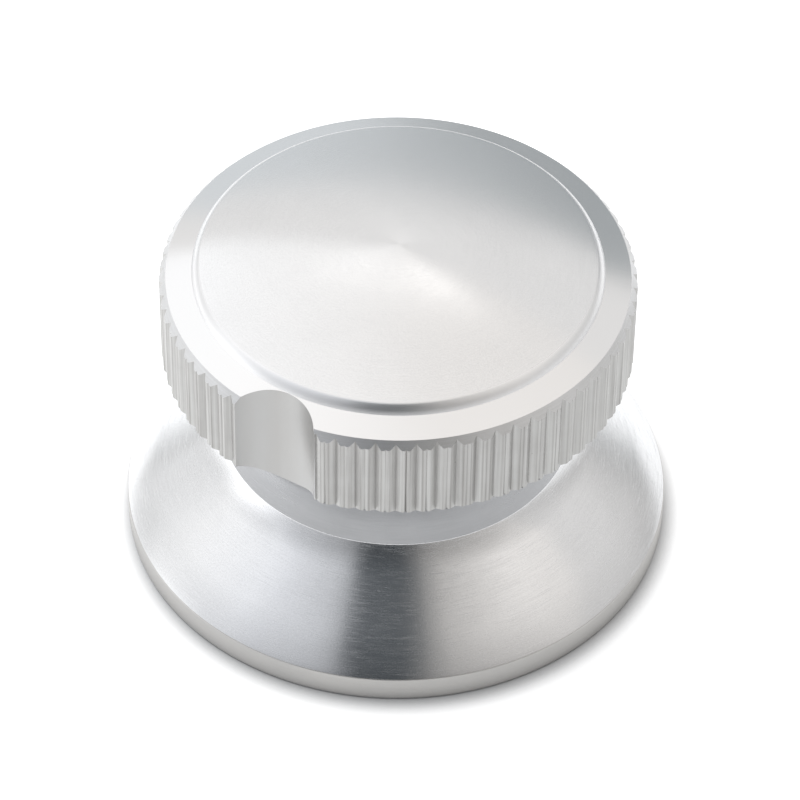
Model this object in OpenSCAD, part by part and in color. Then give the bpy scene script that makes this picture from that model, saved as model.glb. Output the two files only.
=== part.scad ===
// Turned control knob: a bell-shaped skirt, a coved neck and a knurled head with a domed, stepped top.
// The origin is the centre of the skirt's foot, +Z runs up the shaft axis and the index notch faces -Y.
// Lengths are in millimetres and angles in degrees.

/* [Skirt] */
// Diameter of the skirt at its foot
skirt_d = 28; // [27:0.5:36]
// Height of the straight rim at the foot
rim_h = 1.6; // [1:0.1:2.5]
// Height at which the skirt runs into the neck
skirt_h = 6.1; // [5.5:0.1:8]
// Chamfer that breaks the rim's edges
rim_break = 0.15; // [0.05:0.05:0.4]
// Radius of the rounded crown over the rim
crown_r = 16; // [10:0.5:18]
// Angle through which the crown bends
crown_turn = 7.4; // [3:0.1:8]
// Radius of the hollow flare below the neck
flare_r = 5; // [3:0.5:6]
// Angle through which the flare bends
flare_turn = 18.4; // [10:0.1:22]

/* [Neck] */
// Diameter of the neck
neck_d = 18.1; // [17:0.1:20]
// Height of the neck between the skirt and the head
neck_h = 5.45; // [5:0.05:8]
// Height of the neck's straight part, below the cove that runs out to the head
neck_land = 1.25; // [0.8:0.05:1.5]

/* [Head] */
// Diameter over the crests of the knurl
head_d = 23.9; // [23:0.1:28]
// Height of the knurled band, up to the chamfer
band_h = 4.3; // [3:0.1:8]
// Radial width of the chamfer over the knurl
chamfer_w = 0.35; // [0.3:0.05:0.6]
// Height of the chamfer over the knurl
chamfer_h = 0.4; // [0.2:0.05:0.8]

/* [Knurl] */
// Number of grooves round the head
groove_count = 75; // [50:1:85]
// Depth of a groove below the crests
groove_depth = 0.25; // [0.15:0.01:0.28]
// Width of a groove at the crests
groove_w = 0.6; // [0.3:0.05:0.7]
// Depth of the seam along the middle of a crest
seam_depth = 0.08; // [0.03:0.01:0.15]
// Width of that seam
seam_w = 0.14; // [0.05:0.01:0.18]
// Angle from the middle of the notch to the next groove
groove_phase = 1.5; // [0:0.1:4]

/* [Top] */
// Diameter of the raised disc
disc_d = 20.6; // [19:0.1:21.5]
// Rise of the sloping ring from the chamfer to the disc's foot
ring_rise = 0.37; // [0.1:0.01:0.8]
// Height of the step up to the disc's edge
step_h = 0.4; // [0.2:0.05:0.8]
// Rise of the dome from the disc's edge to its middle
dome_h = 1.2; // [0.5:0.1:2.5]
// Chamfer that breaks the disc's edge
disc_break = 0.12; // [0.05:0.01:0.15]

/* [Index notch] */
// Diameter of the cutter that makes the notch
notch_d = 5; // [3:0.1:6]
// How far the notch bites into the foot of the step
notch_bite = 0.05; // [0.03:0.01:0.1]

/* [Shaft bore] */
// Diameter of the shaft that the knob fits
shaft_d = 6; // [4:0.05:6.35]
// Radial clearance of the shaft in the bore
shaft_clearance = 0.03; // [0.01:0.01:0.15]
// Thickness of the top over the point of the bore
bore_roof = 2.2; // [1.5:0.1:4]
// Angle of the drill's point
drill_angle = 118; // [100:1:140]
// Chamfer at the mouth of the bore
bore_break = 0.4; // [0.1:0.1:0.8]

/* [Underside recess] */
// Diameter of the recess that clears the control's nut
recess_d = 16; // [13:0.1:16.5]
// Depth of that recess
recess_h = 5; // [4.5:0.1:5.2]
// Chamfer at the mouth of the recess
recess_break = 0.3; // [0.1:0.1:0.8]

/* [Set screw] */
// Diameter of the set screw over its thread
screw_d = 3; // [2.6:0.1:3.5]
// Length of the set screw
screw_l = 5; // [3.5:0.1:5.2]
// Radial clearance between the screw and its hole
screw_clearance = 0.03; // [0.02:0.01:0.08]
// How far the point of the backed-off screw stays clear of the bore
screw_gap = 0.35; // [0.1:0.05:0.4]
// Key size of the hex socket, across flats
key_af = 1.5; // [0.9:0.1:1.6]
// Depth of the hex socket
key_depth = 1.6; // [1:0.1:2]
// Chamfer at both ends of the screw
screw_break = 0.35; // [0.2:0.05:0.5]
// Diameter of the hollow in the screw's cup point
cup_d = 1.5; // [0.8:0.1:1.6]

/* [Hidden] */
$fn = 96;

// Length by which a cutter runs past the face that it opens
over = 1;
// Number of straight stretches in each bend of the skirt and in the cove
bend_steps = 8;

skirt_r = skirt_d / 2;
neck_r = neck_d / 2;
head_r = head_d / 2;
disc_r = disc_d / 2;
bore_r = shaft_d / 2 + shaft_clearance;
recess_r = recess_d / 2;
screw_r = screw_d / 2;

// Heights of the edges up the outside
head_z = skirt_h + neck_h;
chamfer_z = head_z + band_h;
ring_z = chamfer_z + chamfer_h;
disc_z = ring_z + ring_rise;
edge_z = disc_z + step_h;
top_z = edge_z + dome_h;

// The cove's circle touches the neck's straight part and passes through the head's lower edge
cove_z = skirt_h + neck_land;
cove_w = head_r - neck_r;
cove_h = head_z - cove_z;
cove_r = (cove_w * cove_w + cove_h * cove_h) / (2 * cove_w);

// The dome is a cap of this sphere
dome_r = (disc_r * disc_r + dome_h * dome_h) / (2 * dome_h);

// The turned blank stands proud of the crests by this much, and its chamfer runs out to it
stock = groove_depth;
stock_drop = stock * chamfer_h / chamfer_w;

// The skirt runs from the rim to the neck's foot as a crown, a straight cone and a flare, each touching the next.
// The two bends lift it off the straight line between its ends, so the cone's slope is less than that line's.
skirt_run = [skirt_r - rim_break - neck_r, skirt_h - rim_h];
bend_lift = crown_r * (1 - cos(crown_turn)) + flare_r * (1 - cos(flare_turn));
cone_slope = atan2(skirt_run[1], skirt_run[0]) - asin(bend_lift / norm(skirt_run));

// The knurl's pitch, and its widths as shares of that pitch
pitch_angle = 360 / groove_count;
pitch = PI * head_d / groove_count;
groove_half = groove_w / pitch / 2;
seam_half = seam_w / pitch / 2;

notch_y = disc_r - notch_bite + notch_d / 2;

// The bore runs from the recess's roof to the drill's point
point_h = bore_r / tan(drill_angle / 2);
bore_end = top_z - bore_roof - point_h;

screw_z = skirt_h + neck_h / 2;
screw_out = bore_r + screw_gap + screw_l;
cup_depth = cup_d / 2;

function polar(r, a) = [r * cos(a), r * sin(a)];

// Offset between two places on a bend of radius r, where its slopes are a and b
function bend(r, a, b) = r * [sin(b) - sin(a), cos(b) - cos(a)];

// Points along the crown, from the rim up to the cone
function crown_points() = [
    for (i = [0:bend_steps])
        [skirt_r - rim_break, rim_h]
            + bend(crown_r, cone_slope + crown_turn, cone_slope + crown_turn * (1 - i / bend_steps))
];

// Points along the flare, from the cone up to the neck
function flare_points() = [
    for (i = [0:bend_steps])
        [neck_r, skirt_h]
            + bend(flare_r, cone_slope + flare_turn * i / bend_steps, cone_slope + flare_turn)
];

// Points up the cove, from the neck to past the crests of the knurl
function cove_points() = [
    for (i = [0:bend_steps])
        let (x = (cove_w + stock) * i * i / bend_steps / bend_steps)
            [neck_r + x, cove_z + sqrt(x * (2 * cove_r - x))]
];

// One pitch of the knurl: share of the pitch, and depth below the crests
tooth_form = [
    [0, groove_depth],
    [groove_half, 0],
    [0.5 - seam_half, 0],
    [0.5, seam_depth],
    [0.5 + seam_half, 0],
    [1 - groove_half, 0]
];

// Half section of the skirt and neck, which ends inside the head
module stem_section() {
    polygon(concat(
        [
            [0, 0],
            [skirt_r - rim_break, 0],
            [skirt_r, rim_break],
            [skirt_r, rim_h - rim_break]
        ],
        crown_points(),
        flare_points(),
        [
            [neck_r, chamfer_z],
            [0, chamfer_z]
        ]
    ));
}

// Half section of the cove and the head's blank, before it is knurled
module head_section() {
    intersection() {
        polygon(concat(
            [[0, cove_z]],
            cove_points(),
            [
                [head_r + stock, chamfer_z - stock_drop],
                [head_r - chamfer_w, ring_z],
                [disc_r, disc_z],
                [disc_r, edge_z - disc_break],
                [disc_r - disc_break - over, edge_z + over],
                [0, top_z + over]
            ]
        ));
        translate([0, top_z - dome_r])
            circle(r = dome_r);
    }
}

// Outline of the knurl, seen along the shaft axis
module knurl_outline() {
    first = groove_phase - 90;
    polygon([
        for (i = [0:groove_count - 1], t = tooth_form)
            polar(head_r - t[1], first + (i + t[0]) * pitch_angle)
    ]);
}

// The head's blank, cut to the knurl
module head() {
    intersection() {
        rotate_extrude()
            head_section();
        translate([0, 0, cove_z - over])
            linear_extrude(top_z - cove_z + 2 * over)
                knurl_outline();
    }
}

// The round scallop down the side of the head
module notch() {
    translate([0, -notch_y, cove_z])
        cylinder(d = notch_d, h = top_z - cove_z + over);
}

// The recess and the blind shaft bore, with their chamfers and the drill's point
module shaft_hole() {
    rotate_extrude()
        polygon([
            [0, -over],
            [recess_r + recess_break + over, -over],
            [recess_r, recess_break],
            [recess_r, recess_h],
            [bore_r + bore_break, recess_h],
            [bore_r, recess_h + bore_break],
            [bore_r, bore_end],
            [0, bore_end + point_h]
        ]);
}

// The screw's hole, from inside the bore out through the back of the neck
module screw_hole() {
    translate([0, 0, screw_z])
        rotate([-90, 0, 0])
            cylinder(r = screw_r + screw_clearance, h = head_r);
}

module knob_body() {
    color("silver")
        difference() {
            union() {
                rotate_extrude()
                    stem_section();
                head();
            }
            notch();
            shaft_hole();
            screw_hole();
        }
}

module set_screw() {
    color("dimgray")
        translate([0, screw_out, screw_z])
            rotate([90, 0, 0])
                difference() {
                    rotate_extrude()
                        polygon([
                            [0, 0],
                            [screw_r - screw_break, 0],
                            [screw_r, screw_break],
                            [screw_r, screw_l - screw_break],
                            [screw_r - screw_break, screw_l],
                            [cup_d / 2, screw_l],
                            [0, screw_l - cup_depth]
                        ]);
                    translate([0, 0, -over])
                        cylinder(d = key_af / cos(30), h = key_depth + over, $fn = 6);
                }
}

knob_body();
set_screw();
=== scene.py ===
"""Looks of a turned aluminium control knob: its body, its set screw and a small light tent to see them in."""

import math
from functools import reduce

import bpy
import numpy as np
from bpy.props import FloatProperty, FloatVectorProperty, IntProperty, PointerProperty
from mathutils import Matrix, Vector


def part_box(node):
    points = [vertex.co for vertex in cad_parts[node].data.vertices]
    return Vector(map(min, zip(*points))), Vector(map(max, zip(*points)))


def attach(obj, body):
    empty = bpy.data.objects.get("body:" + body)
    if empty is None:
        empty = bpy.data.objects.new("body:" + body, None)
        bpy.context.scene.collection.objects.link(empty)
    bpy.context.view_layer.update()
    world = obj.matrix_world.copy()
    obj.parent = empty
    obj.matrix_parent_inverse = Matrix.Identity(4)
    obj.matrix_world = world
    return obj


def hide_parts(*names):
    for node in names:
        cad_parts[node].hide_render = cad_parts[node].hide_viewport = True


bl_info = {
    "name": "Turned control knob",
    "version": (1, 0, 0),
    "blender": (4, 5, 0),
    "location": "View3D > Sidebar > Knob",
    "description": "Builds a knurled aluminium control knob, its set screw and a light tent",
    "category": "Object",
}

MM = 0.001
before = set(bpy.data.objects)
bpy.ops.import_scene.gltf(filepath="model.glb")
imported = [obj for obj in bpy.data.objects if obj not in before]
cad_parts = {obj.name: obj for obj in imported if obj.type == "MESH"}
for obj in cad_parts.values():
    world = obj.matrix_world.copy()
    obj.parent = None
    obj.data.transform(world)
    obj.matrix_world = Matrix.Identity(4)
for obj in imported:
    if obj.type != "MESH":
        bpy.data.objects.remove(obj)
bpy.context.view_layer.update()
BODY_LOW, BODY_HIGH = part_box("knob_body")
SCREW_LOW, SCREW_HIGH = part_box("set_screw")

# Edges of a mesh that bend more than this stay crisp
CRISP = math.radians(25)
# Columns and rows of the grid round the screw's hole, from its middle to its edge and to the end of its block
HOLE_KEEP, HOLE_SPREAD = (8, 4), (24, 6)
# The same columns to the end of the block in the bore, and half that block's height
BORE_REACH, BORE_BLOCK = 44, 3.2 * MM
# Pitch, depth and rows of the hole's thread, and the shares of its length that stay plain and that fade in
HOLE_PITCH, HOLE_DEPTH, HOLE_ROWS, HOLE_PLAIN, HOLE_FADE = 0.5 * MM, 0.2 * MM, 48, 0.04, 0.1
# Rows of the cove outside the disc's radius, and how far they start outside the neck's own rows
COVE_ROWS, COVE_GAP = 8, 0.004 * MM
# Break of the knurl's lower edge, its least height, and the height of the nicks above it
EDGE_BREAK, LEAST_BREAK, NICK_H = 0.03 * MM, 0.01 * MM, 0.16 * MM
# Shares of the wall's height at which it has rows
WALL_SHARES = (0.34, 0.67)
# What the knurling wheel leaves to chance: shares of a groove's and a seam's depth, and a crest's lean in mm
GROOVE_PRESS, SEAM_PRESS, CREST_LEAN = (0.88, 1.0), (0.6, 1.2), 0.025
# Depth of the nicks at the foot of the seams, and the shares of it that chance leaves
NICK_DEPTH, NICK_PRESS = 0.14 * MM, (0.2, 1.0)
# Painted shade, left to chance, in the knurl's lines and at its seams' feet, and a groove edge's share of it
LINE_SHADE, DOT_SHADE, EDGE_SHADE = (0.3, 0.55), (-0.4, 1.0), 0.8
# Least share of a seam's depth that takes painted shade all along it, and at its foot
SEAM_MIDDLE, SEAM_FOOT = 0.9, 0.4
# Angles and turns that are nearer than this count as the same, and the seed of what is left to chance
NEAR, SEED = 1e-6, 11
# Columns round the set screw and rows along it
SCREW_COLUMNS, SCREW_ROWS = 72, 160
# Slope of the screw's cup, and the share of the thread's depth that is flat at its crest and at its root
CUP_SLOPE, THREAD_FLAT = 0.6, 0.1
# Its socket: width and depth of the mouth's chamfer, share of the key's depth with full walls, share of the
# width left at the key's end, and width and depths of the drilled point past it
MOUTH_W, MOUTH_H, FULL_WALL, END_W, POINT_W, POINT_H = 1.1, 0.06 * MM, 0.8, 0.97, 0.4, (0.15 * MM, 0.25 * MM)
# How far the floor lies below the knob, and the nearest that the camera sees
FLOOR_DROP, CLIP_START = 0.01 * MM, 10 * MM
# Name of the shader that a new material has
SHADER = "Principled BSDF"
# Turned metal: how often lines, scratches and short marks break up round the axis
LINE_ARCS, SCRATCH_ARCS, MARK_ARCS = 5.0, 16.5, 10.0
# Pitch and depth of the scratches over those of the lines
SCRATCH_PITCH, SCRATCH_DEPTH = 1.6, 0.9
# Noise scales of turned metal, per metre
GRAIN_SCALE, PATCH_SCALE, SPECK_SCALE = 15000.0, 260.0, 1900.0
# How far its roughness and its grain's tone swing, its share of the dull tone, and how ragged the edge of the
# duller outer metal is
ROUGH_SWING, GRAIN_TONE, DULLEST, DULL_RAGGED = 0.05, 0.14, 0.75, 2 * MM
# Noise values between which its scratches, short marks and specks set in
SCRATCH_EDGE, MARK_EDGE, SPECK_EDGE = (0.66, 0.76), (0.5, 0.74), (0.80, 0.83)
# Noise values over which any finish is uneven, turned metal turns dull, and its grain's tone swings
UNEVEN_SPAN, DULL_SPAN, GRAIN_SPAN = (0.3, 0.7), (0.4, 0.66), (0.25, 0.75)
# Share of dirt in the darkest specks and pits
DARKEST = 0.9
# Turn of the finish's spread, as a share of a whole turn: across the tool lines
QUARTER_TURN = 0.25
# Noise scales of rolled and milled metal, per metre
ROLLED_GRAIN_SCALE, ROLLED_PATCH_SCALE, SHADE_BREAK_SCALE, PIT_SCALE = 14000.0, 700.0, 5200.0, 2300.0
# Its streaks: their change with height, their share beside the patches, and the grain's share on them
UPRIGHT_SHARE, STREAK_SHARE, ROLLED_GRAIN = 0.02, 0.8, 0.8
# Noise values over which its tone changes and the painted shade in its lines breaks up, and between which its
# pits set in
STREAK_SPAN, BROKEN_SPAN, PIT_EDGE = (0.36, 0.66), (0.34, 0.6), (0.80, 0.84)
# Least share of the lines' painted shade that is left, and the ends of its roughness about the middle
LEAST_SHADE, ROLLED_SWING = 0.25, (-0.05, 0.06)
# Black oxide: noise scales of its blotches and its grain, per metre, and the grain's depth
BLOTCH_SCALE, OXIDE_GRAIN_SCALE, OXIDE_DEPTH = 1800.0, 20000.0, 0.002 * MM
# Noise values over which it is worn bare, and its roughness where the oxide is whole and where it is worn
BARE_SPAN, OXIDE_ROUGHNESS = (0.55, 0.72), (0.48, 0.3)
# Floor: noise scale of its mottle, per metre, and the mottle's darkest share
MOTTLE_SCALE, MOTTLE_DULL = 40.0, 0.985
# Its painted shadow: the samples of it, and the openness at which it is full and at which it ends
SHADOW_SAMPLES, SHADOW_EDGE = 8, (0.35, 0.9)
# Zones of the body, in the order of its material slots
ZONES = ("bore", "rim", "skirt", "neck", "knurl", "chamfer", "ring", "edge", "dome", "notch")
# Name of the point attribute that says how much painted shade lies in the knurl's lines
CREASE_SHADE = "crease_shade"


def length(name, text, default):
    """A size in metres, shown with its unit."""
    return FloatProperty(name=name, description=text, default=default, unit="LENGTH", precision=5)


def angle(name, text, degrees):
    """An angle, held in radians and shown in degrees."""
    return FloatProperty(name=name, description=text, default=math.radians(degrees), subtype="ANGLE")


def share(name, text, default):
    """A plain number from 0 to 1."""
    return FloatProperty(name=name, description=text, default=default, min=0, max=1, subtype="FACTOR")


def level(name, text, default):
    """A brightness, where 1 is white."""
    return FloatProperty(name=name, description=text, default=default, min=0)


def number(name, text, default):
    """A plain number."""
    return FloatProperty(name=name, description=text, default=default)


def colour(name, text, default):
    """A linear colour."""
    return FloatVectorProperty(name=name, description=text, default=default, subtype="COLOR", min=0, max=1)


class KNOB_PG_form(bpy.types.PropertyGroup):
    """Sizes of the knob's body."""

    skirt_d: length("Skirt diameter", "Across the skirt's foot", BODY_HIGH.y - BODY_LOW.y)
    rim_h: length("Rim height", "Height of the straight rim", 1.6 * MM)
    rim_round: length("Rim round", "Radius on the rim's edges", 0.15 * MM)
    skirt_h: length("Skirt height", "Where the skirt runs into the neck", 6.1 * MM)
    crown_r: length("Crown radius", "Radius of the skirt's rounded crown over the rim", 16 * MM)
    crown_turn: angle("Crown turn", "Angle through which the crown bends", 7.4)
    flare_r: length("Flare radius", "Radius of the skirt's hollow flare below the neck", 5 * MM)
    flare_turn: angle("Flare turn", "Angle through which the flare bends", 18.4)
    neck_d: length("Neck diameter", "Across the neck", 18.1 * MM)
    neck_h: length("Neck height", "From the skirt to the head", 5.45 * MM)
    neck_land: length("Neck land", "Height of the neck's straight part, below its cove", 1.25 * MM)
    neck_fillet: length("Neck fillet", "Radius at the neck's foot", 0.06 * MM)
    head_d: length("Head diameter", "Over the crests of the knurl", 23.9 * MM)
    band_h: length("Band height", "Height of the knurled band", 4.3 * MM)
    chamfer_w: length("Chamfer width", "Radial width of the chamfer over the knurl", 0.35 * MM)
    chamfer_h: length("Chamfer height", "Height of the chamfer over the knurl", 0.4 * MM)
    groove_count: IntProperty(name="Grooves", description="Grooves round the head", default=75)
    groove_depth: length("Groove depth", "Depth of a groove below the crests", 0.25 * MM)
    groove_w: length("Groove width", "Width of a groove at the crests", 0.6 * MM)
    seam_depth: length("Seam depth", "Depth of the seam along a crest", 0.04 * MM)
    seam_w: length("Seam width", "Width of the seam along a crest", 0.14 * MM)
    groove_phase: angle("Groove phase", "From the notch's middle to the next groove", 1.5)
    disc_d: length("Disc diameter", "Across the raised disc", 20.6 * MM)
    ring_rise: length("Ring rise", "Rise of the ring from the chamfer to the disc", 0.37 * MM)
    step_h: length("Step height", "Height of the step up to the disc", 0.4 * MM)
    disc_round: length("Disc round", "Radius on the disc's upper edge", 0.25 * MM)
    disc_turn: angle("Disc turn", "Lean from upright where that radius runs into the step's own round", 50)
    step_lean: angle("Step lean", "Lean of the step's foot from upright", 17)
    notch_d: length("Notch diameter", "Across the cutter of the notch", 5 * MM)
    notch_land: length("Notch land", "What the notch leaves in front of the disc", 0.02 * MM)
    bore_d: length("Bore diameter", "Across the shaft bore", 6.06 * MM)
    bore_end: length("Bore end", "Height at which the bore's wall ends", 14.2 * MM)
    bore_point: length("Bore point", "Height of the drill's point", 1.82 * MM)
    bore_break: length("Bore chamfer", "Chamfer at the bore's mouth", 0.4 * MM)
    recess_d: length("Recess diameter", "Across the recess in the foot", 16 * MM)
    recess_h: length("Recess depth", "Depth of the recess", 5 * MM)
    recess_break: length("Recess chamfer", "Chamfer at the recess's mouth", 0.3 * MM)
    screw_hole_d: length("Screw hole", "Across the set screw's hole", 3.06 * MM)


class KNOB_PG_screw(bpy.types.PropertyGroup):
    """Sizes of the set screw."""

    thread_pitch: length("Thread pitch", "From one thread to the next", 0.5 * MM)
    thread_depth: length("Thread depth", "Depth of the thread", 0.27 * MM)
    key_af: length("Key size", "Across the flats of the socket", 1.5 * MM)
    key_depth: length("Key depth", "Depth of the socket", 1.6 * MM)
    end_break: length("End chamfer", "Chamfer at both ends", 0.35 * MM)
    cup_d: length("Cup diameter", "Across the hollow in the point", 1.5 * MM)


class KNOB_PG_finish(bpy.types.PropertyGroup):
    """Colours and finishes."""

    aluminium: colour("Aluminium", "Colour of the finely turned metal", (0.875, 0.88, 0.89))
    bright: colour("Bright metal", "Colour of the ring's brightest metal", (0.865, 0.865, 0.87))
    stain: colour("Stain", "Colour of the metal's duller patches", (0.755, 0.76, 0.77))
    # Milled, rolled, neck and rim colours sit well below bare aluminium: painted shade for the darker floor
    # and skirt that these surfaces reflect; the neck's blue tint is a painted cool reflection
    milled: colour("Milled metal", "Colour of the milled notch", (0.53, 0.53, 0.525))
    rolled: colour("Rolled metal", "Colour of the knurl", (0.585, 0.585, 0.575))
    rolled_stain: colour("Rolled stain", "Colour of the knurl's duller patches", (0.475, 0.47, 0.46))
    rough_turned: colour("Rough metal", "Colour of the coarser turning", (0.62, 0.62, 0.61))
    neck: colour("Neck", "Colour of the neck", (0.47, 0.475, 0.485))
    neck_stain: colour("Neck stain", "Colour of the neck's duller patches", (0.41, 0.415, 0.425))
    rim: colour("Rim", "Colour of the rim", (0.56, 0.55, 0.535))
    rough_stain: colour("Rough stain", "Colour of the rough metal's duller patches", (0.53, 0.525, 0.515))
    # Speck also colours the painted shade in the knurl's lines and the dots at its seams' feet
    speck: colour("Speck", "Colour of pits and dirt", (0.14, 0.13, 0.12))
    steel: colour("Screw steel", "Colour of the blackened screw", (0.055, 0.055, 0.06))
    worn_steel: colour("Worn steel", "Colour of the screw's worn spots", (0.25, 0.25, 0.26))
    dome_roughness: share("Dome roughness", "Roughness of the domed top", 0.18)
    edge_roughness: share("Edge roughness", "Roughness of the disc's edge", 0.34)
    skirt_roughness: share("Skirt roughness", "Roughness of the skirt", 0.2)
    knurl_roughness: share("Knurl roughness", "Roughness of the rolled knurl", 0.4)
    grain: share("Turning grain", "How much further the finish spreads across the tool lines", 0.75)
    line_pitch: length("Tool line pitch", "Spacing of the tool lines", 0.06 * MM)
    line_depth: length("Tool line depth", "Depth of the tool lines", 0.0006 * MM)


class KNOB_PG_studio(bpy.types.PropertyGroup):
    """The light tent and the camera."""

    floor_size: length("Floor size", "Width of the floor", 3.0)
    floor_colour: colour("Floor", "Colour of the floor", (0.55, 0.56, 0.57))
    # The floor lift is a white glow; the shadow and fall settings below shape a painted shadow and a painted
    # fall of light in it
    floor_lift: level("Floor lift", "White added to the floor for the eye and for reflections", 0.78)
    shadow_reach: length("Shadow reach", "How far the knob holds that white back", 1.25 * MM)
    shadow_lean: share("Shadow lean", "Lean of that shadow towards the camera", 0.5)
    shadow_turn: angle("Shadow turn", "From the camera's right to the side it leans away from", 112)
    fall_turn: angle("Fall turn", "From the camera's right to where the floor's white falls off", -62)
    fall_reach: length("Fall reach", "Half of the way on which it falls off", 20 * MM)
    fall_start: level("Fall start", "Share of the floor's white where it starts to fall off", 1.4)
    fall_end: level("Fall end", "Share of the floor's white where it has fallen off", 0.84)
    gain: level("Tent gain", "Brightness of the whole tent", 1.25)
    roof_left: colour("Roof left", "Colour of the roof's left side", (1.0, 1.0, 1.0))
    roof_right: colour("Roof right", "Colour of the roof's right side", (0.795, 0.77, 0.745))
    strip: colour("Strip", "Colour of the strip behind the roof", (0.685, 0.675, 0.665))
    back_left: colour("Back left", "Colour of the back's left side", (0.565, 0.59, 0.605))
    back_right: colour("Back right", "Colour of the back's right side", (0.315, 0.333, 0.342))
    card: colour("Dark opening", "Colour of the opening for the camera", (0.150, 0.167, 0.182))
    left_wall: colour("Left wall", "Colour of the wall at the front left", (0.86, 0.875, 0.91))
    streak: level("Streak", "What the roof's far edge adds in its middle", 1.6)
    lamp: level("Low lamp", "What the low lamp on the left adds", 0.55)
    roof_fade: share("Roof fade", "How much the roof dims towards its far edge", 0.09)
    front_fade: share("Front fade", "How much the roof dims towards the camera", 0.4)
    left_dim: share("Left dim", "How much the left wall dims below the roof", 0.09)
    upper_dim: share("Upper dim", "How much the left wall dims towards the roof", 0.12)
    right_dim: share("Right dim", "How much the right wall dims further towards the floor", 0.2)
    side_dim: share("Side dim", "How much the walls behind the knob dim towards the floor", 0.22)
    low_dim: share("Low dim", "How much the front wall dims towards the floor", 0.38)
    roof_skew: number("Roof skew", "Sideways lean of the roof's far edge", 0.68)
    roof_end: number("Roof end", "Reach of the roof over its height", 0.92)
    strip_skew: number("Strip skew", "Sideways lean of the strip's far edge", 0.5)
    strip_end: number("Strip end", "Reach of the strip over the roof's height", 1.58)
    card_left: angle("Opening left", "Where the dark opening ends on the left", 14)
    card_right: angle("Opening right", "Where the dark opening ends on the right", 1)
    card_soft: angle("Opening edge", "Width of the dark opening's soft edges", 13)
    azimuth: angle("Azimuth", "Turn of the camera round the knob", 30.31)
    elevation: angle("Elevation", "Height of the camera above the horizon", 45.53)
    roll: angle("Roll", "Turn of the camera about its own axis", 0.76)
    distance: length("Distance", "From the camera to its aim", 220.02 * MM)
    aim_z: length("Aim height", "Height of the point that the camera looks at", 7.21 * MM)
    aim_x: length("Aim offset", "How far that point lies to the right of the axis", 0.157 * MM)
    lens: FloatProperty(
        name="Lens", description="Focal length for the film's width", default=193.06, unit="CAMERA"
    )
    film: FloatProperty(name="Film", description="Width of the camera's frame", default=36, unit="CAMERA")


def even(first, last, rows):
    """Even points of a straight stretch: the first point plus equal shares of the way to the last."""
    t = np.linspace(0, 1, rows + 1)[:, None]
    return np.array(first) + t * (np.array(last) - np.array(first))


def crowded(first, last, rows):
    """Points of a straight stretch that crowd towards its ends: shares are half of one minus a cosine."""
    t = (1 - np.cos(np.linspace(0, math.pi, rows + 1)))[:, None] / 2
    return np.array(first) + t * (np.array(last) - np.array(first))


def arc(centre, radius, first, last, rows):
    """Points of a round stretch: the centre plus the radius, turned evenly from one angle to another."""
    a = np.linspace(first, last, rows + 1)
    return np.array(centre) + radius * np.stack([np.cos(a), np.sin(a)], axis=1)


def chain(*stretches):
    """One line of points from several stretches, each of which starts where the last one ends."""
    return np.vstack([s[:-1] for s in stretches] + [stretches[-1][-1:]])


def quads(ids):
    """Faces of a closed grid of vertex numbers, whose columns run round and join up."""
    turned = np.roll(ids, -1, axis=1)
    return np.stack([ids[:-1], turned[:-1], turned[1:], ids[1:]], axis=-1).reshape(-1, 4)


def fan(pole, ring, first):
    """Triangles from a pole to a ring of vertex numbers; first says that the pole comes before the ring."""
    ahead = np.roll(ring, -1)
    poles = np.full_like(ring, pole)
    order = [poles, ahead, ring] if first else [ring, ahead, poles]
    return np.stack(order, axis=-1)


def mesh_object(name, points, groups, darkening=None):
    """A smooth mesh object at the origin from points and from (zone number, face rows) groups, with crisp
    edges. Points that no face uses are left out. Darkening gives each point's share of painted shade."""
    used = np.unique(np.concatenate([rows.ravel() for _, rows in groups]))
    place = np.zeros(len(points), int)
    place[used] = np.arange(len(used))
    faces = [face for _, rows in groups for face in place[rows].tolist()]
    zones = np.concatenate([np.full(len(rows), zone, np.int32) for zone, rows in groups])
    mesh = bpy.data.meshes.new(name)
    mesh.from_pydata(points[used].tolist(), [], faces)
    mesh.polygons.foreach_set("material_index", zones)
    mesh.polygons.foreach_set("use_smooth", np.ones(len(faces), bool))
    mesh.set_sharp_from_angle(angle=CRISP)
    if darkening is not None:
        mesh.attributes.new(CREASE_SHADE, "FLOAT", "POINT").data.foreach_set("value", darkening[used])
    mesh.update()
    if mesh.validate():
        raise RuntimeError(f"{name} has faults in its mesh")
    piece = bpy.data.objects.new(name, mesh)
    bpy.context.scene.collection.objects.link(piece)
    return piece


def wrapped(a):
    """Angles brought into the half turn on either side of zero."""
    return (a + math.pi) % (2 * math.pi) - math.pi


class Cove:
    """The hollow round from the neck out to the head's lower edge: a circle that touches the neck's straight
    part and passes through that edge, so its radius is the sum of the squares of its width and height over
    twice its width."""

    def __init__(self, form):
        self.neck_r, self.low_z = form.neck_d / 2, form.skirt_h + form.neck_land
        width, rise = form.head_d / 2 - self.neck_r, form.neck_h - form.neck_land
        self.round = (width**2 + rise**2) / (2 * width)

    def radius(self, z):
        """Radius of the neck and the cove at a height: the cove's round less the root of its square less the
        height above the straight part squared."""
        up = np.clip(z - self.low_z, 0, self.round)
        return self.neck_r + self.round - np.sqrt(self.round**2 - up**2)

    def height(self, radius):
        """Height of the cove at a radius, from the same circle."""
        out = radius - self.neck_r
        return self.low_z + np.sqrt(out * (2 * self.round - out))


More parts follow.
